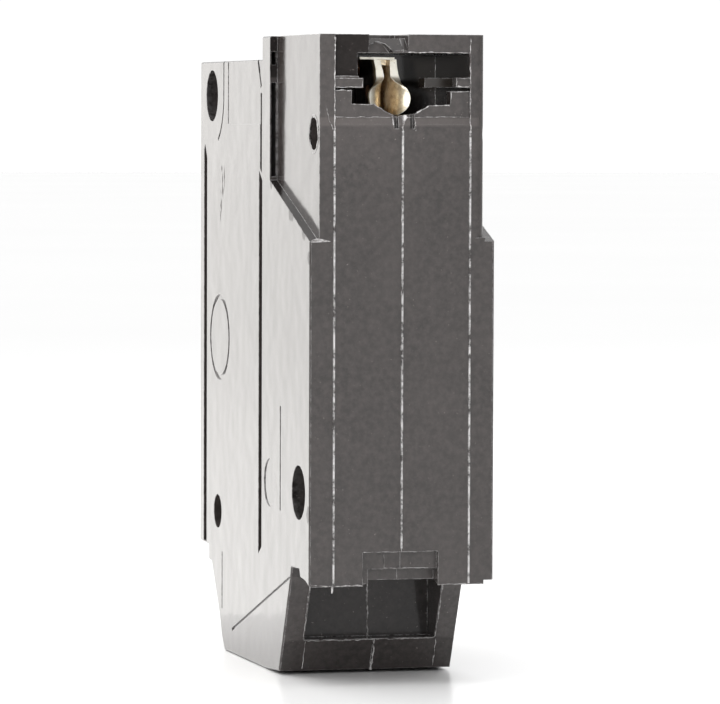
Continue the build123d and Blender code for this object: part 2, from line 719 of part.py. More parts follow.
def main():
    right, left = case_halves()
    nodes = {
        "case_right": [right],
        "case_left": [left],
        "rivets_large": rivets(RIVETS_LARGE, 2.9),
        "rivets_small": rivets(RIVETS_SMALL, 2.0),
        "handle": [handle()],
        "contact_arm": [contact_arm()],
        "moving_contact": [moving_contact()],
        "fixed_contact": [fixed_contact()],
        "line_strap": [line_strap()],
        "line_jaw": [line_jaw()],
        "jaw_spring": [jaw_spring()],
        "cradle": [cradle()],
        "cradle_pin": [cradle_pin()],
        "over_centre_spring": [over_centre_spring()],
        "armature": [armature()],
        "armature_pin": [armature_pin()],
        "armature_spring": [armature_spring()],
        "bimetal": [bimetal()],
        "bimetal_rivet": [bimetal_rivet()],
        "load_strap": [load_strap()],
        "calibration_screw": [calibration_screw()],
        "magnet_yoke": [magnet_yoke()],
        "flexible_braid": [flexible_braid()],
        "terminal_lug": [terminal_lug()],
        "pressure_plate": [pressure_plate()],
        "terminal_screw": [terminal_screw()],
        "arc_plates": arc_plates(),
        "arc_chute_sides": arc_chute_sides(),
    }
    boxes = [shape.bounding_box() for group in nodes.values() for shape in group]
    low_y = min(box.min.Y for box in boxes)
    high_y = max(box.max.Y for box in boxes)
    low_z = min(box.min.Z for box in boxes)
    to_origin = Pos(0, -(low_y + high_y) / 2, -low_z)
    print("datum", 0, -(low_y + high_y) / 2, -low_z)
    os.makedirs("parts", exist_ok=True)
    for name, group in nodes.items():
        solids = [solid for shape in group for solid in (to_origin * shape).solids()]
        shape = solids[0] if len(solids) == 1 else Compound(children=solids)
        export_step(shape, f"parts/{name}.step")


main()
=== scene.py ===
import json
import math

import bpy
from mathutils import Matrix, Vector, noise


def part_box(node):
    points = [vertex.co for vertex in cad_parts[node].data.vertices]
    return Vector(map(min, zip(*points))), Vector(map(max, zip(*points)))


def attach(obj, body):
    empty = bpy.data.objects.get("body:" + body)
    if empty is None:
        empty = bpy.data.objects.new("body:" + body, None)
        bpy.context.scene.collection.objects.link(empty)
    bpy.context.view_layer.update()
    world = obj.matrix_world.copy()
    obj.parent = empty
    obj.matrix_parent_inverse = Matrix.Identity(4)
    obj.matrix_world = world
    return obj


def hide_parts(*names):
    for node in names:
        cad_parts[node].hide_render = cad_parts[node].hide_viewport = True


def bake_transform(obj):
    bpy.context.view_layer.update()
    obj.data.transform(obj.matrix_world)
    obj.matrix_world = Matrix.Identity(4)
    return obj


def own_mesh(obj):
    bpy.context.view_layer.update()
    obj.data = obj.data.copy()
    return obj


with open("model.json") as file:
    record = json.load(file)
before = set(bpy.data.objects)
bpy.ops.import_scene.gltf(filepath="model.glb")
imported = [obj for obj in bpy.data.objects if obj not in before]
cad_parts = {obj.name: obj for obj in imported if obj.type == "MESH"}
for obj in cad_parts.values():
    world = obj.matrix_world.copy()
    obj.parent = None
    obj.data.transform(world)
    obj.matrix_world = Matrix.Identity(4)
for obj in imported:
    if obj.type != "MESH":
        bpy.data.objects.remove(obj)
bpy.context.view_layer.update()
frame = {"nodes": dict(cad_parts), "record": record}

# ---- measures of the case, in metres ----
MM = 0.001
CASE_LOW, CASE_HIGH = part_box("case_right")
RIM = 0.12 * MM
BACK_HEIGHT = 73.3 * MM
BACK_Y = CASE_HIGH[1] - RIM
LIP_Z = CASE_HIGH[2] - BACK_HEIGHT
SIDE_X = CASE_HIGH[0]

# y, z and reach in mm of the small nicks on the side's edges
SIDE_NICKS = [
    (-10.6, 49.5, 1.5),
    (-9.7, 49.1, 1.1),
    (-3.3, 47.0, 1.6),
    (-21.6, 53.2, 1.0),
    (-0.4, 43.6, 1.3),
    (-0.3, 9.6, 1.7),
]
# the large counterbores' centres in the side view, and their radius, in mm
LARGE_HOLES = [(-57.4, 65.3), (-5.8, 12.2)]
LARGE_HOLE_R = 3.7


def at(x, y, z):
    """A point given in mm from the lower edge of the back face, at mid width."""
    return Vector((x * MM, BACK_Y + y * MM, LIP_Z + z * MM))


# ---- camera ----
def look_from(azimuth, elevation, roll, distance, target, lens):
    """A camera on a sphere round the target, turned by a small roll about its own axis."""
    a, e = math.radians(azimuth), math.radians(elevation)
    back = Vector((math.sin(a) * math.cos(e), -math.cos(a) * math.cos(e), math.sin(e)))
    data = bpy.data.cameras.new("camera")
    data.lens = lens
    data.sensor_width = 36.0
    data.clip_start = 0.01
    data.clip_end = 20.0
    camera = bpy.data.objects.new("camera", data)
    bpy.context.scene.collection.objects.link(camera)
    camera.location = target + back * distance
    turn = back.to_track_quat("Z", "Y")
    camera.rotation_euler = turn.to_euler()
    camera.rotation_euler.rotate_axis("Z", math.radians(roll))
    bpy.context.scene.camera = camera
    return camera


# ---- shader helpers ----
class Graph:
    """A short way to write a node material."""

    def __init__(self, name):
        self.material = bpy.data.materials.new(name)
        self.material.use_nodes = True
        self.tree = self.material.node_tree
        self.shader = self.tree.nodes["Principled BSDF"]
        self.place = self.add("ShaderNodeTexCoord").outputs["Object"]
        self.geometry = self.add("ShaderNodeNewGeometry")

    def add(self, kind, inputs=None, **settings):
        node = self.tree.nodes.new(kind)
        for key, value in settings.items():
            setattr(node, key, value)
        for key, value in (inputs or {}).items():
            self.put(value, node.inputs[key])
        return node

    def put(self, value, socket):
        if isinstance(value, bpy.types.NodeSocket):
            self.tree.links.new(value, socket)
        else:
            socket.default_value = value

    def noise(self, scale, detail=3.0, roughness=0.55, stretch=(1, 1, 1)):
        mapped = self.add("ShaderNodeMapping", {"Vector": self.place, "Scale": stretch})
        inputs = {
            "Vector": mapped.outputs[0],
            "Scale": scale,
            "Detail": detail,
            "Roughness": roughness,
        }
        return self.add("ShaderNodeTexNoise", inputs).outputs["Fac"]

    def ramp(self, value, low, high, out_low=0.0, out_high=1.0):
        inputs = {"From Min": low, "From Max": high, "To Min": out_low, "To Max": out_high}
        node = self.add("ShaderNodeMapRange", inputs)
        self.put(value, node.inputs["Value"])
        return node.outputs["Result"]

    def maths(self, operation, a, b=0.0):
        node = self.add("ShaderNodeMath", operation=operation)
        self.put(a, node.inputs[0])
        self.put(b, node.inputs[1])
        return node.outputs[0]

    def product(self, *values):
        result = values[0]
        for value in values[1:]:
            result = self.maths("MULTIPLY", result, value)
        return result

    def mix(self, factor, a, b):
        node = self.add("ShaderNodeMix", data_type="RGBA")
        self.put(factor, node.inputs["Factor"])
        self.put(a, node.inputs[6])
        self.put(b, node.inputs[7])
        return node.outputs[2]

    def axes(self):
        return self.add("ShaderNodeSeparateXYZ", {0: self.place}).outputs

    def along_x(self, start, end):
        """0 at start and 1 at end, across the width, in mm from mid width."""
        return self.ramp(self.axes()[0], start * MM, end * MM)

    def below_side(self, start, end):
        """0 at start and 1 at end, both mm below the right side face."""
        return self.ramp(self.axes()[0], SIDE_X - start * MM, SIDE_X - end * MM)

    def along_y(self, start, end):
        """0 at start and 1 at end, front to back, in mm from the back face."""
        return self.ramp(self.axes()[1], BACK_Y + start * MM, BACK_Y + end * MM)

    def along_z(self, start, end, out_low=0.0, out_high=1.0):
        """0 at start and 1 at end, upward, in mm from the back face's lower edge."""
        return self.ramp(self.axes()[2], LIP_Z + start * MM, LIP_Z + end * MM, out_low, out_high)

    def facing(self):
        """The three parts of the true normal."""
        normal = self.geometry.outputs["True Normal"]
        return self.add("ShaderNodeSeparateXYZ", {0: normal}).outputs

    def distance(self, centre_y, centre_z):
        """Distance in the side view from a point given in mm."""
        y, z = self.axes()[1:]
        here = self.add("ShaderNodeCombineXYZ", {"Y": y, "Z": z}).outputs[0]
        centre = at(0, centre_y, centre_z)
        node = self.add("ShaderNodeVectorMath", {0: here, 1: centre}, operation="DISTANCE")
        return node.outputs["Value"]

    def spots(self, places, grain):
        """Ragged patches round a few points of the side face."""
        total = 0.0
        for centre_y, centre_z, radius in places:
            near = self.ramp(self.distance(centre_y, centre_z), radius * MM, radius * 0.3 * MM)
            near = self.ramp(self.maths("ADD", near, grain), 0.85, 1.05)
            total = near if total == 0.0 else self.maths("MAXIMUM", total, near)
        return total

    def hole_rims(self):
        """1 inside the two large counterbores."""
        total = 0.0
        for centre_y, centre_z in LARGE_HOLES:
            reach = self.distance(centre_y, centre_z)
            inside = self.ramp(reach, (LARGE_HOLE_R + 0.05) * MM, LARGE_HOLE_R * MM)
            total = inside if total == 0.0 else self.maths("MAXIMUM", total, inside)
        return total

    def soften(self, radius):
        return self.add("ShaderNodeBevel", {"Radius": radius}, samples=4).outputs["Normal"]

    def edge(self, radius, low=0.01, high=0.12):
        """1 along sharp edges, 0 on flats: how far a rounded normal turns from the true one."""
        true = self.geometry.outputs["True Normal"]
        dot = self.add(
            "ShaderNodeVectorMath", {0: self.soften(radius), 1: true}, operation="DOT_PRODUCT"
        )
        return self.ramp(dot.outputs["Value"], 1.0 - low, 1.0 - high)

    def bump(self, height, distance, strength=1.0, normal=None):
        inputs = {"Height": height, "Distance": distance, "Strength": strength}
        if normal is not None:
            inputs["Normal"] = normal
        return self.add("ShaderNodeBump", inputs).outputs["Normal"]

    def finish(self, **values):
        names = {
            "color": "Base Color",
            "rough": "Roughness",
            "metal": "Metallic",
            "normal": "Normal",
            "ior": "IOR",
        }
        for key, value in values.items():
            self.put(value, self.shader.inputs[names[key]])
        return self.material


def grey(value, warmth=1.5):
    """A dark, slightly warm plastic colour; warmth 0 gives a neutral grey."""
    return (value, value * (1 - 0.10 * warmth), value * (1 - 0.13 * warmth), 1.0)


# ---- materials ----
def shade_and_matt_places(g):
    """1 where painted shade darkens the case's colour and its gloss is lowered: recesses, slanted
    cuts and the large counterbores.
    """
    ny, nz = g.facing()[1:]
    faces_back = g.ramp(ny, 0.6, 0.8)
    foot_recess = g.product(0.6, g.along_z(3, 2), g.ramp(ny, 0.93, 0.98), g.along_y(-4, -7))
    lip = g.product(0.35, g.along_z(-8.4, -8.7), faces_back)
    diagonal = g.product(
        g.ramp(nz, 0.85, 0.9),
        g.ramp(ny, 0.25, 0.3),
        g.along_x(10.6, 11.0),
        g.along_z(44, 45),
    )
    corner = g.product(
        faces_back, g.along_y(-0.8, -0.95), g.along_z(67.6, 67.8), g.along_x(4.3, 4.45)
    )
    facet = g.product(0.85, g.along_z(70.7, 70.9), g.ramp(ny, 0.5, 0.6), g.ramp(nz, 0.6, 0.7))
    sunk = g.product(g.hole_rims(), g.below_side(1.4, 0.7), g.below_side(0.05, 0.1))
    total = foot_recess
    for place in (corner, lip, diagonal, sunk, facet):
        total = g.maths("MAXIMUM", total, place)
    return total


def jaw_room_shade(g):
    """1 inside the room behind the window, less in its lower part; there the colour is darkened and
    browned as painted shade.
    """
    x = g.axes()[0]
    return g.product(
        g.along_y(-1.2, -2.5),
        g.along_y(-20.0, -19.0),
        g.along_z(62.0, 62.3),
        g.along_z(71.2, 70.9),
        g.ramp(g.maths("ABSOLUTE", x), 9.6 * MM, 9.4 * MM),
        g.along_z(65.6, 66.4, 0.15, 1.0),
    )


def bend_band_highlight(g):
    """1 on the narrow slope under the window's bend line, painted lighter as a highlight."""
    ny = g.facing()[1]
    return g.product(
        g.along_z(61.0, 61.3), g.along_z(62.4, 62.2), g.along_y(-0.6, -0.4), g.ramp(ny, 0.90, 0.94)
    )


def scuff_mark(g, outer_side):
    """A scratched patch on the side, narrowing downward to a point."""
    tip_y, tip_z, widening = -52.3, 47.0, 0.5
    y, z = g.axes()[1:]
    scratch = g.noise(1300.0, 3.0, 0.7, stretch=(1.0, 1.0, 0.22))
    rise = g.maths("MULTIPLY", g.maths("SUBTRACT", z, LIP_Z + tip_z * MM), widening)
    past_edge = g.maths("SUBTRACT", g.maths("SUBTRACT", y, BACK_Y + tip_y * MM), rise)
    return g.product(
        g.along_y(tip_y - 0.1, tip_y + 0.3),
        g.ramp(past_edge, 0.2 * MM, -0.4 * MM),
        g.along_z(55.6, 54.6),
        outer_side,
        g.ramp(scratch, 0.47, 0.55),
    )


def phenolic():
    """Black moulded phenolic: glossy flats, fine speckle, pale rubbed edges and flash, with painted
    shade in its recesses and painted highlights on the slope under the window and in the large
    counterbores.
    """
    g = Graph("case_phenolic")
    cloud = g.noise(150.0, 4.0)
    mottle = g.noise(1100.0, 4.0, 0.7)
    grain = g.noise(3600.0, 2.0)
    wave = g.noise(190.0, 1.0)
    streak = g.noise(420.0, 3.0, stretch=(1.0, 1.0, 0.05))
    rub = g.noise(900.0, 4.0, 0.75)
    nx, ny = g.facing()[:2]
    outer_side = g.product(g.ramp(nx, 0.6, 0.8), g.below_side(0.3, 0.2))
    shade_and_matt = shade_and_matt_places(g)
    scuff = scuff_mark(g, outer_side)
    nicks = g.product(g.spots(SIDE_NICKS, rub), outer_side)
    dulled = g.maths("MAXIMUM", scuff, nicks)
    worn = g.product(g.edge(0.16 * MM), g.ramp(rub, 0.40, 0.56))
    proud = g.product(g.along_y(0.02, 0.05), g.ramp(rub, 0.38, 0.60))
    # painted highlight: pale noisy patches near the large counterbores' rims stand for glints
    rim_glints = g.product(g.hole_rims(), g.below_side(2.2, 0.4), g.ramp(rub, 0.35, 0.65))
    dust = g.ramp(g.noise(2300.0, 2.0, 0.6), 0.70, 0.76, 0.0, 0.6)

    base = g.mix(g.ramp(cloud, 0.35, 0.68), grey(0.030), grey(0.043))
    base = g.mix(g.ramp(mottle, 0.38, 0.66, 0.0, 0.8), base, grey(0.067))
    # painted shade: the room behind the window takes a darker, browner colour
    base = g.mix(jaw_room_shade(g), base, (0.027, 0.022, 0.018, 1.0))
    # painted highlight: the slope under the bend line is coloured lighter
    base = g.mix(g.maths("MULTIPLY", bend_band_highlight(g), 0.45), base, grey(0.11))
    # painted shade: recesses, slanted cuts and the large counterbores are coloured nearly black
    base = g.mix(g.maths("MULTIPLY", shade_and_matt, 0.75), base, grey(0.010))
    base = g.mix(dust, base, grey(0.26))
    base = g.mix(g.maths("MULTIPLY", worn, 0.85), base, grey(0.55, 0.2))
    base = g.mix(proud, base, grey(0.70, 0.2))
    base = g.mix(g.maths("MULTIPLY", dulled, 0.6), base, grey(0.03))
    # painted highlight: glints in the large counterbores
    base = g.mix(g.maths("MULTIPLY", rim_glints, 0.15), base, grey(0.45, 0.2))

    ior = g.ramp(g.maths("MAXIMUM", shade_and_matt, dulled), 0.0, 1.0, 1.6, 1.22)
    rough = g.ramp(streak, 0.3, 0.7, 0.09, 0.15)
    rough = g.maths("ADD", rough, g.maths("MULTIPLY", scuff, 0.6))
    rough = g.maths("ADD", rough, g.maths("MULTIPLY", worn, 0.4))
    outer_back = g.product(g.ramp(ny, 0.6, 0.9), g.along_y(-5, -4))
    rough = g.maths("ADD", rough, g.maths("MULTIPLY", outer_back, 0.25))
    normal = g.bump(grain, 0.010 * MM, 0.30, g.soften(0.14 * MM))
    normal = g.bump(streak, 0.010 * MM, 0.3, normal)
    normal = g.bump(wave, 0.12 * MM, 0.6, normal)
    return g.finish(color=base, rough=rough, normal=normal, ior=ior)


def handle_plastic():
    g = Graph("handle_plastic")
    cloud = g.noise(160.0, 3.0)
    grain = g.noise(3200.0, 2.0)
    base = g.mix(g.ramp(cloud, 0.35, 0.68), grey(0.020), grey(0.032))
    rub = g.maths("MULTIPLY", g.edge(0.2 * MM), g.ramp(g.noise(600.0), 0.4, 0.6))
    base = g.mix(g.maths("MULTIPLY", rub, 0.5), base, grey(0.22))
    normal = g.bump(grain, 0.01 * MM, 0.4, g.soften(0.2 * MM))
    return g.finish(color=base, rough=g.ramp(cloud, 0.3, 0.7, 0.3, 0.42), normal=normal, ior=1.55)


def flash():
    """The torn, whitened plastic of mould flash."""
    g = Graph("mould_flash")
    tear = g.noise(1100.0, 4.0, 0.8)
    base = g.mix(g.ramp(tear, 0.40, 0.58), grey(0.10), grey(0.62, 0.2))
    normal = g.bump(g.noise(4200.0, 3.0), 0.05 * MM, 0.8)
    return g.finish(color=base, rough=0.55, normal=normal, ior=1.5)


def metal(name, colour, dark, rough_low, rough_high, scale=500.0, stretch=(1, 1, 1), bump=0.4):
    """A worked metal: drawn or rolled lines, tarnish in patches, bright rubbed edges."""
    g = Graph(name)
    lines = g.noise(scale * 3, 3.0, stretch=stretch)
    patch = g.noise(scale * 0.5, 4.0)
    base = g.mix(g.ramp(patch, 0.38, 0.7), (*colour, 1.0), (*dark, 1.0))
    bright = tuple(min(1.0, c * 1.15) for c in colour)
    base = g.mix(g.maths("MULTIPLY", g.edge(0.1 * MM), 0.7), base, (*bright, 1.0))
    rough = g.ramp(lines, 0.3, 0.7, rough_low, rough_high)
    normal = g.bump(lines, 0.01 * MM, bump, g.soften(0.12 * MM))
    return g.finish(color=base, rough=rough, metal=1.0, normal=normal)


def fibre():
    g = Graph("vulcanised_fibre")
    weave = g.noise(900.0, 4.0, stretch=(1, 1, 0.2))
    base = g.mix(g.ramp(weave, 0.3, 0.7), (0.30, 0.10, 0.05, 1), (0.42, 0.17, 0.09, 1))
    return g.finish(color=base, rough=0.6, normal=g.bump(weave, 0.03 * MM, 0.5))


def braid_copper():
    g = Graph("copper_braid")
    waves = []
    for tilt in (0.7, -0.7):
        turn = {"Vector": g.place, "Rotation": (tilt, 0.0, 0.0)}
        mapped = g.add("ShaderNodeMapping", turn).outputs[0]
        wave = g.add("ShaderNodeTexWave", {"Vector": mapped, "Scale": 900.0, "Distortion": 1.0})
        waves.append(wave.outputs["Fac"])
    strands = g.maths("MAXIMUM", waves[0], waves[1])
    base = g.mix(strands, (0.35, 0.15, 0.08, 1), (0.85, 0.45, 0.28, 1))
    normal = g.bump(strands, 0.08 * MM, 1.0)
    return g.finish(color=base, rough=0.35, metal=1.0, normal=normal)


def jaw_metal():
    """Bright brass: pale on its cut ends, golden and stained on its bent sides, with painted
    highlights on its edges and painted shade deep behind its mouth on one side.
    """
    g = Graph("jaw_brass_bright")
    ny = g.facing()[1]
    stain = g.noise(900.0, 5.0, 0.75)
    speck = g.noise(3800.0, 2.0, 0.6)
    side = g.mix(g.ramp(stain, 0.40, 0.62), (0.98, 0.84, 0.60, 1), (0.60, 0.45, 0.26, 1))
    ends = g.mix(g.ramp(stain, 0.5, 0.8), (1.0, 0.97, 0.86, 1), (0.95, 0.86, 0.66, 1))
    base = g.mix(g.ramp(ny, 0.80, 0.96), side, ends)
    base = g.mix(g.ramp(speck, 0.66, 0.74, 0.0, 0.6), base, (0.30, 0.20, 0.11, 1))
    # painted highlight: the jaw's edges are coloured near white
    base = g.mix(g.edge(0.12 * MM), base, (1.0, 0.98, 0.90, 1))
    # painted shade: deep behind the mouth on one side, the jaw is coloured nearly black
    inside = g.product(g.along_y(-9.3, -10.4), g.along_x(0.9, 1.2))
    base = g.mix(inside, base, (0.06, 0.035, 0.02, 1))
    normal = g.bump(stain, 0.04 * MM, 0.5, g.soften(0.08 * MM))
    rough = g.ramp(stain, 0.3, 0.7, 0.3, 0.5)
    return g.finish(color=base, rough=rough, metal=0.7, normal=normal)


def floor_white():
    g = Graph("studio_floor")
    soft = g.noise(3.0, 2.0)
    base = g.mix(g.ramp(soft, 0.3, 0.7), (0.94, 0.94, 0.94, 1), (0.96, 0.96, 0.96, 1))
    return g.finish(color=base, rough=0.25)


def dress_nodes():
    """Every CAD piece takes its material from its slot."""
    finishes = {
        "case": phenolic(),
        "handle": handle_plastic(),
        "brass": metal("jaw_brass", (0.88, 0.66, 0.34), (0.66, 0.42, 0.16), 0.16, 0.34),
        "copper": metal("strap_copper", (0.86, 0.50, 0.34), (0.52, 0.26, 0.16), 0.22, 0.4),
        "silver": metal("contact_silver", (0.86, 0.85, 0.82), (0.6, 0.58, 0.54), 0.2, 0.35),
        "steel": metal("plain_steel", (0.52, 0.52, 0.53), (0.34, 0.33, 0.32), 0.28, 0.45),
        "zinc_steel": metal("zinc_steel", (0.72, 0.73, 0.75), (0.5, 0.5, 0.52), 0.22, 0.42),
        "spring_steel": metal("spring_steel", (0.42, 0.42, 0.44), (0.26, 0.26, 0.27), 0.2, 0.34),
        "bimetal": metal("bimetal", (0.62, 0.58, 0.50), (0.44, 0.40, 0.34), 0.25, 0.4),
        "fibre": fibre(),
        "lug": metal("tinned_lug", (0.78, 0.78, 0.79), (0.58, 0.58, 0.6), 0.3, 0.5),
        "braid": braid_copper(),
        # the line strap and jaw spring are coloured near-black copper
        "dark": metal("near_black_copper", (0.12, 0.065, 0.04), (0.05, 0.03, 0.025), 0.4, 0.6),
    }
    special = {"flexible_braid": "braid", "line_strap": "dark", "jaw_spring": "dark"}
    slots = {row["node"]: row["material_slot"] for row in frame["record"]["subparts"]}
    for name, piece in frame["nodes"].items():
        slot = special.get(name, slots[name])
        piece.data.materials.clear()
        piece.data.materials.append(finishes[slot])
    return finishes


# ---- added pieces ----
def new_piece(name, verts, faces, material, body="case"):
    mesh = bpy.data.meshes.new(name)
    mesh.from_pydata([tuple(v) for v in verts], [], faces)
    mesh.validate()
    mesh.update()
    piece = bpy.data.objects.new(name, mesh)
    bpy.context.scene.collection.objects.link(piece)
    mesh.materials.append(material)
    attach(piece, body)
    return piece


def along(points, step):
    """Evenly spaced points on a line through the given ones, with the way ahead at each."""
    result = []
    for a, b in zip(points, points[1:]):
        a, b = Vector(a), Vector(b)
        count = max(1, int((b - a).length / step))
        for i in range(count):
            result.append((a.lerp(b, i / count), (b - a).normalized()))
    result.append((Vector(points[-1]), result[-1][1]))
    return result


def flash_line(name, points, material, seed, width=0.24, height=0.10, out=(0, 1, 0), stray=0.07):
    """An uneven ridge of torn flash along a line, in mm, standing out of the face below it."""
    out = Vector(out).normalized()
    verts, faces = [], []
    sections = along(points, 0.22)
    for place, ahead in sections:
        across = out.cross(ahead).normalized()
        key = place * 1.9 + Vector((seed, seed * 0.7, 0))
        coarse = noise.noise(key)
        fine = noise.noise(key * 3.7)
        half = max(0.02, 0.8 * width * (0.5 + 0.55 * coarse + 0.5 * fine))
        top = min(height * 1.15, max(0.01, height * (0.7 + 0.5 * fine + 0.4 * coarse)))
        centre = place + across * stray * 2 * noise.noise(key * 0.6 + Vector((0, 0, 9)))
        ring = [(-half, -0.06), (-half * 0.5, top), (half * 0.5, top * 0.85), (half, -0.06)]
        verts += [at(*(centre + across * dx + out * dy)) for dx, dy in ring]
    for i in range(len(sections) - 1):
        a, b = i * 4, (i + 1) * 4
        for j in range(4):
            k = (j + 1) % 4
            faces.append((a + j, a + k, b + k, b + j))
    faces.append((3, 2, 1, 0))
    last = (len(sections) - 1) * 4
    faces.append((last, last + 1, last + 2, last + 3))
    return new_piece(name, verts, faces, material)


def foot_face(x, z):
    """A point on the slanted back faces of the foot."""
    return (x, -10.1 - (0.5 - z) * 6.5 / 13.4, z)


def add_flash(plastic):
    white = flash()
    back = 0.0
    rim = -0.3
    lines = {
        "flash_right": ([(9.35, back, 0.3), (9.35, back, 72.9)], 0.20),
        "flash_left": ([(-9.3, back, 0.3), (-9.3, back, 72.9)], 0.16),
        "flash_middle": ([(0, back, 4.7), (0.05, back, 30), (0, back, 60.9)], 0.14),
        "sill_right_top": ([(9.15, rim, 65.85), (7.0, rim, 65.85)], 0.10),
        "sill_right_floor": ([(6.9, rim, 64.0), (3.95, rim, 64.0), (2.2, rim, 63.0)], 0.09),
        "sill_left_floor": ([(-2.0, rim, 62.85), (-3.7, rim, 63.85), (-6.5, rim, 63.92)], 0.16),
        "sill_left_top": ([(-6.65, rim, 64.1), (-6.7, rim, 65.65), (-9.15, rim, 65.75)], 0.10),
        "tab_right_edge": ([(9.15, rim, 66.3), (5.5, rim, 66.28), (5.45, rim, 67.3)], 0.08),
        "tab_right_top": ([(9.15, rim, 67.42), (5.6, rim, 67.42)], 0.07),
        "tab_left_edge": ([(-9.2, rim, 66.38), (-7.5, rim, 66.42)], 0.2),
        "tab_left_side": ([(-9.2, rim, 67.5), (-7.6, rim, 67.5), (-7.45, rim, 66.6)], 0.08),
        "beam_edge": ([(-0.4, back, 70.95), (-9.2, back, 70.93)], 0.14),
        "bend_line": ([(9.2, -0.28, 62.32), (-9.15, -0.28, 62.36)], 0.07),
        "notch_top": ([(5.2, back, 4.55), (-5.0, back, 4.55)], 0.06),
        "notch_step": ([(2.2, -0.75, 4.3), (2.2, -0.75, 2.35), (-3.9, -0.75, 2.32)], 0.07),
        "lip_right": ([(12.4, back, 0.25), (10.2, back, 0.12), (5.4, back, 0.15)], 0.14),
        "lip_left": ([(-5.2, back, 0.1), (-11.2, back, 0.1)], 0.07),
        "drip": ([(9.45, -0.1, 0.5), (9.5, -0.1, -0.85)], 0.26),
        "slot_patch": ([(0.1, back, 60.9), (-0.1, back, 61.5), (-0.4, -0.2, 62.6)], 0.42),
        "slot_patch_right": ([(1.3, back, 61.3), (1.5, -0.2, 62.5)], 0.25),
        "slot_patch_left": ([(-1.75, back, 60.5), (-1.8, -0.1, 62.0)], 0.12),
    }
    for seed, (name, (points, width)) in enumerate(lines.items()):
        stray = 0.11 if name == "flash_middle" else 0.06
        flash_line(name, points, white, 3.1 * seed + 1, width, stray=stray)
    slanted = (0, 13.4, -6.5)
    foot = {
        "foot_wall_right": [foot_face(9.85, z) for z in (-0.2, -4.0, -8.4)],
        "foot_wall_right_low": [foot_face(9.5, z) for z in (-8.7, -12.6)],
        "foot_wall_left": [foot_face(-8.75, z) for z in (-0.2, -4.0, -8.4)],
        "foot_wall_left_low": [foot_face(-8.9, z) for z in (-8.7, -12.6)],
        "foot_lip_top": [foot_face(x, -8.62) for x in (9.2, 1.7, -0.3, -8.4)],
    }
    for seed, (name, points) in enumerate(foot.items()):
        width = 0.08 if name == "foot_lip_top" else 0.13
        flash_line(name, points, white, 60 + 2.3 * seed, width, 0.10, slanted)
    flash_line("foot_seam", [(0, -18, -0.1), (-0.1, -18, -8.4)], white, 91, 0.22, 0.25)
    flash_line("lip_seam", [foot_face(-0.2, z) for z in (-8.6, -13.0)], white, 95, 0.3, 0.1, slanted)
    lens_highlight(white)
    flash_ring("rim_flash", -3.1, 60.1, 2.4, plastic, 8.7)
    crease = [(10.6, back, 63.9), (10.2, back, 62.2), (9.55, back, 60.7)]
    flash_line("crease", crease, plastic, 33.0, 0.12, 0.06)


def lens_highlight(material):
    """The small bright facet where the relief's diagonal wall meets the back face, made of pale
    flash as a painted highlight.
    """
    top = [(12.5, 46.0), (11.8, 46.25), (11.0, 46.2), (10.3, 46.02), (9.9, 45.9)]
    low = [(12.5, 45.72), (11.8, 45.75), (11.0, 45.78), (10.3, 45.84), (9.9, 45.86)]
    verts = [at(x, 0.11, z) for x, z in top] + [at(x, 0.02, z) for x, z in low]
    verts += [at(x, -0.1, z + 0.02) for x, z in top] + [at(x, -0.1, z) for x, z in low]
    count = len(top)
    faces = []
    for i in range(count - 1):
        faces.append((i, i + 1, count + i + 1, count + i))
        faces.append((2 * count + i + 1, 2 * count + i, 3 * count + i, 3 * count + i + 1))
        faces.append((i + 1, i, 2 * count + i, 2 * count + i + 1))
        faces.append((count + i, count + i + 1, 3 * count + i + 1, 3 * count + i))
    faces.append((0, count, 3 * count, 2 * count))
    end = count - 1
    faces.append((end, 2 * count + end, 3 * count + end, count + end))
    return new_piece("lens_highlight", verts, faces, material)


def flash_ring(name, y, z, radius, material, seed, steps=64):
    """Torn plastic round a hole's rim, reaching unevenly over the hole."""
    face_x = 11.45
    verts, faces = [], []
    for i in range(steps):
        turn = 2 * math.pi * i / steps
        place = Vector((math.cos(turn) * 2.2, math.sin(turn) * 2.2, seed))
        reach = 0.2 + 0.5 * max(-0.3, noise.noise(place)) + 0.2 * noise.noise(place * 4)
        for r, out in ((radius - reach, 0.0), (radius + 0.25, 0.0), (radius - 0.02, -0.25)):
            verts.append(at(face_x + out, y + r * math.cos(turn), z + r * math.sin(turn)))
    for i in range(steps):
        a, b = i * 3, (i + 1) % steps * 3
        faces += [(a, b, b + 1, a + 1), (a + 1, b + 1, b + 2, a + 2), (a + 2, b + 2, b, a)]
    return new_piece(name, verts, faces, material)


# ---- the jaw, in finer detail ----
# places front to back in mm: the jaw's root, where its fingers start to flare, and its mouth
JAW_ROOT = -16.6
JAW_FLARE = -11.2
JAW_MOUTH = -8.3
# the height in mm where the fingers start to swell, and how far down it takes
SWELL_TOP = 67.9
SWELL_RUN = 1.8
ROOT_COLUMNS = 4

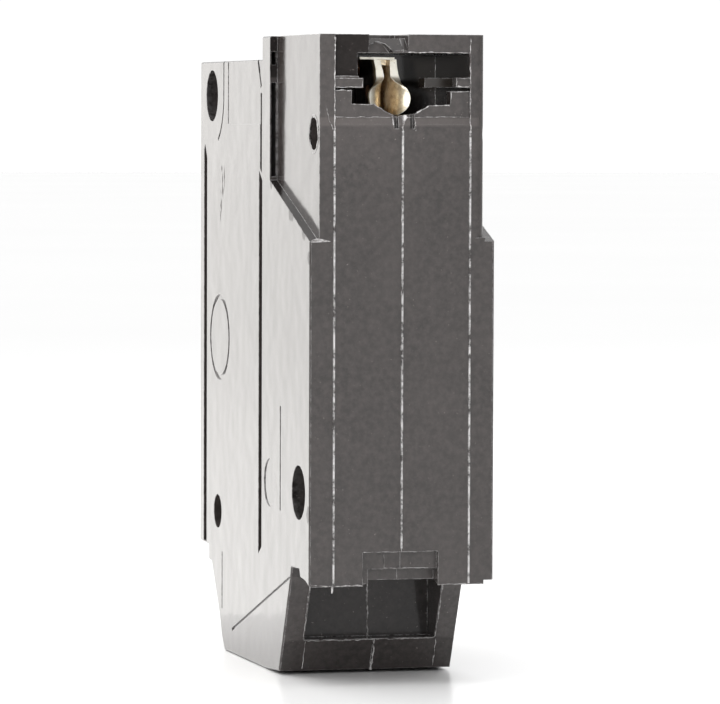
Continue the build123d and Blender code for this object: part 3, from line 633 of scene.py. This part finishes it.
# height, outer edge and inner edge of each finger's end, in mm from mid width
FINGERS = {
    1: [
        (62.6, 1.2, 0.5),
        (62.9, 1.75, 0.5),
        (63.3, 2.2, 0.5),
        (63.8, 2.5, 0.45),
        (64.4, 2.68, 0.4),
        (65.0, 2.76, 0.4),
        (65.6, 2.72, 0.4),
        (66.1, 2.5, 0.4),
        (66.6, 2.05, 0.38),
        (67.0, 1.62, 0.37),
        (67.4, 1.46, 0.36),
        (68.0, 1.55, 0.45),
        (68.6, 1.54, 0.55),
        (69.2, 1.62, 0.75),
        (70.1, 1.84, 0.95),
    ],
    -1: [
        (62.6, 1.1, 0.4),
        (62.9, 1.8, 0.4),
        (63.3, 2.35, 0.42),
        (63.8, 2.75, 0.44),
        (64.4, 2.95, 0.45),
        (65.0, 2.96, 0.46),
        (65.6, 2.8, 0.47),
        (66.1, 2.5, 0.48),
        (66.6, 2.15, 0.48),
        (67.0, 1.85, 0.47),
        (67.4, 1.77, 0.46),
        (68.2, 1.56, 0.44),
        (69.1, 1.42, 0.42),
        (70.1, 1.30, 0.42),
    ],
}


def finger_at(side, z):
    rows = FINGERS[side]
    for (z0, *low), (z1, *high) in zip(rows, rows[1:]):
        if z <= z1:
            t = max(0.0, (z - z0) / (z1 - z0))
            return [a + (b - a) * t for a, b in zip(low, high)]
    return rows[-1][1:]


def lip_path(t, edge, root):
    """The plan of a flared finger's inside face, from its root (t = 0) to its lip (t = 1)."""
    points = [(root, JAW_FLARE), (root + 0.1, -8.7), (edge * 0.45, -7.5), (edge, -7.1)]
    a, b, c, d = (Vector(p) for p in points)
    s = 1 - t
    return a * s**3 + b * (3 * s * s * t) + c * (3 * s * t * t) + d * t**3


def jaw_finger(side, rows=60, columns=26):
    """One finger as a grid whose lower part swells and turns out to a rounded lip."""
    low, high = FINGERS[side][0][0], FINGERS[side][-1][0]
    inner, outer = [], []
    for i in range(rows + 1):
        z = low + (high - low) * i / rows
        edge, root = finger_at(side, z)
        bulb = min(1.0, max(0.0, (SWELL_TOP - z) / SWELL_RUN))
        bulb = bulb * bulb * (3 - 2 * bulb)
        for j in range(columns + 1):
            t = max(0.0, (j - ROOT_COLUMNS) / (columns - ROOT_COLUMNS))
            straight = Vector((root, JAW_FLARE + (JAW_MOUTH - JAW_FLARE) * t))
            bent = lip_path(t, edge, root)
            ahead = lip_path(min(1, t + 0.02), edge, root) - lip_path(max(0, t - 0.02), edge, root)
            normal = Vector((ahead.y, -ahead.x)).normalized()
            if j < ROOT_COLUMNS:
                back = JAW_ROOT + (JAW_FLARE - JAW_ROOT) * j / ROOT_COLUMNS
                straight = bent = Vector((root, back))
                normal = Vector((1, 0))
            face = straight.lerp(bent, bulb)
            thick = (edge - root) * (1 - bulb) + bulb * (1.0 - 0.62 * t)
            behind = face + Vector((1, 0)).lerp(normal, bulb).normalized() * thick
            wobble = 0.03 * noise.noise(Vector((side * 3, face.y * 0.9, z * 1.1)))
            inner.append(at(side * (face.x + wobble), face.y, z))
            outer.append(at(side * (behind.x + wobble), behind.y, z))
    count = len(inner)
    across = columns + 1
    faces = []
    for i in range(rows):
        for j in range(columns):
            a = i * across + j
            quad = (a, a + 1, a + across + 1, a + across)
            faces.append(quad)
            faces.append(tuple(count + v for v in reversed(quad)))
        a, b = i * across, (i + 1) * across
        faces.append((a, b, count + b, count + a))
        a, b = a + columns, b + columns
        faces.append((b, a, count + a, count + b))
    for j in range(columns):
        faces.append((j + 1, j, count + j, count + j + 1))
        a = rows * across + j
        faces.append((a, a + 1, count + a + 1, count + a))
    if side < 0:
        faces = [tuple(reversed(face)) for face in faces]
    return inner + outer, faces


def box_mesh(x0, x1, y0, y1, z0, z1, tilt=0.0):
    corners = []
    for z in (z0, z1):
        for x, y in ((x0, y0), (x1, y0), (x1, y1), (x0, y1)):
            corners.append(at(x, y, z + tilt * (x - x0) / (x1 - x0)))
    faces = [(3, 2, 1, 0), (4, 5, 6, 7), (0, 1, 5, 4), (1, 2, 6, 5), (2, 3, 7, 6), (3, 0, 4, 7)]
    return corners, faces


def add_jaw():
    parts = [jaw_finger(1), jaw_finger(-1)]
    parts.append(box_mesh(-1.5, 1.5, JAW_ROOT, -10.6, 69.3, 70.06))
    parts.append(box_mesh(-1.0, 3.85, -11.0, -8.15, 70.02, 70.34, 0.06))
    verts, faces = [], []
    for part_verts, part_faces in parts:
        start = len(verts)
        verts += part_verts
        faces += [tuple(start + v for v in face) for face in part_faces]
    jaw = new_piece("line_jaw_fine", verts, faces, jaw_metal())
    mesh = jaw.data
    mesh.polygons.foreach_set("use_smooth", [True] * len(mesh.polygons))
    mesh.set_sharp_from_angle(angle=math.radians(40))
    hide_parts("line_jaw")
    return jaw


# ---- springs ----
def stand_in(name, node_name):
    """A copy of a soft node's shape in the node's place, with the node hidden."""
    node = frame["nodes"][node_name]
    piece = bpy.data.objects.new(name, node.data.copy())
    bpy.context.scene.collection.objects.link(piece)
    piece.matrix_world = node.matrix_world.copy()
    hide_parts(node_name)
    return piece


def add_springs():
    """Copies of the toggle spring and the latch spring; the latch spring's copy is fixed to the case
    and has a mesh of its own.
    """
    toggle = stand_in("toggle_spring_coils", "over_centre_spring")
    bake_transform(toggle)
    latch = stand_in("latch_spring_coils", "armature_spring")
    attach(latch, "case")
    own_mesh(latch)


# ---- studio ----
def studio():
    floor = bpy.data.meshes.new("studio_floor")
    reach = 6.0
    floor.from_pydata(
        [(-reach, -reach, 0), (reach, -reach, 0), (reach, reach, 0), (-reach, reach, 0)],
        [],
        [(0, 1, 2, 3)],
    )
    plane = bpy.data.objects.new("studio_floor", floor)
    bpy.context.scene.collection.objects.link(plane)
    floor.materials.append(floor_white())
    world = bpy.data.worlds.new("studio_world")
    world.use_nodes = True
    tree = world.node_tree
    background = tree.nodes["Background"]
    direction = tree.nodes.new("ShaderNodeTexCoord").outputs["Generated"]
    split = tree.nodes.new("ShaderNodeSeparateXYZ")
    fade = tree.nodes.new("ShaderNodeMapRange")
    fade.inputs["From Min"].default_value = -0.9
    fade.inputs["From Max"].default_value = -0.45
    fade.inputs["To Min"].default_value = 0.45
    fade.inputs["To Max"].default_value = 1.04
    tree.links.new(direction, split.inputs[0])
    tree.links.new(split.outputs["X"], fade.inputs["Value"])
    tree.links.new(fade.outputs["Result"], background.inputs["Strength"])
    background.inputs["Color"].default_value = (1, 1, 1, 1)
    bpy.context.scene.world = world
    bpy.context.scene.view_settings.view_transform = "Standard"


def area_light(name, place, aim, size, radiance, spread=180.0):
    data = bpy.data.lights.new(name, "AREA")
    data.shape = "RECTANGLE"
    data.size, data.size_y = size
    data.energy = radiance * math.pi * size[0] * size[1]
    data.spread = math.radians(spread)
    lamp = bpy.data.objects.new(name, data)
    bpy.context.scene.collection.objects.link(lamp)
    lamp.location = place
    lamp.rotation_euler = (Vector(place) - Vector(aim)).to_track_quat("Z", "Y").to_euler()
    lamp.visible_camera = False
    return lamp


def lights():
    card_y = CASE_LOW[1] - 0.03
    card = area_light("side_card", (0.078, card_y, 0.10), (0.078, 0.0, 0.10), (0.125, 0.20), 1.12)
    card.data.color = (1.0, 0.975, 0.93)
    glow_y = card_y + 0.028
    area_light("floor_glow", (0.08, glow_y, 0.11), (0.08, glow_y, 0), (0.12, 0.05), 1.5)
    area_light("overhead", (0, 0.05, 0.9), (0, 0, 0), (1.2, 1.2), 0.5, 60.0)
    spot_on_jaw()


def spot_on_jaw():
    """A narrow lamp off to the right of the back face, aimed at the jaw through its window."""
    jaw = at(0.5, -9.0, 66.0)
    data = bpy.data.lights.new("jaw_light", "SPOT")
    data.energy = 3.0
    data.spot_size = math.radians(4.2)
    data.spot_blend = 1.0
    data.shadow_soft_size = 0.012
    spot = bpy.data.objects.new("jaw_light", data)
    bpy.context.scene.collection.objects.link(spot)
    spot.location = jaw + Vector((0.12, 0.22, 0.01))
    spot.rotation_euler = (spot.location - jaw).to_track_quat("Z", "Y").to_euler()


finishes = dress_nodes()
add_flash(finishes["case"])
add_jaw()
add_springs()
studio()
lights()
look_from(
    azimuth=165.293,
    elevation=2.6855,
    roll=0.1891,
    distance=0.66296,
    target=at(5.794, 0, 31.213),
    lens=250.0,
)
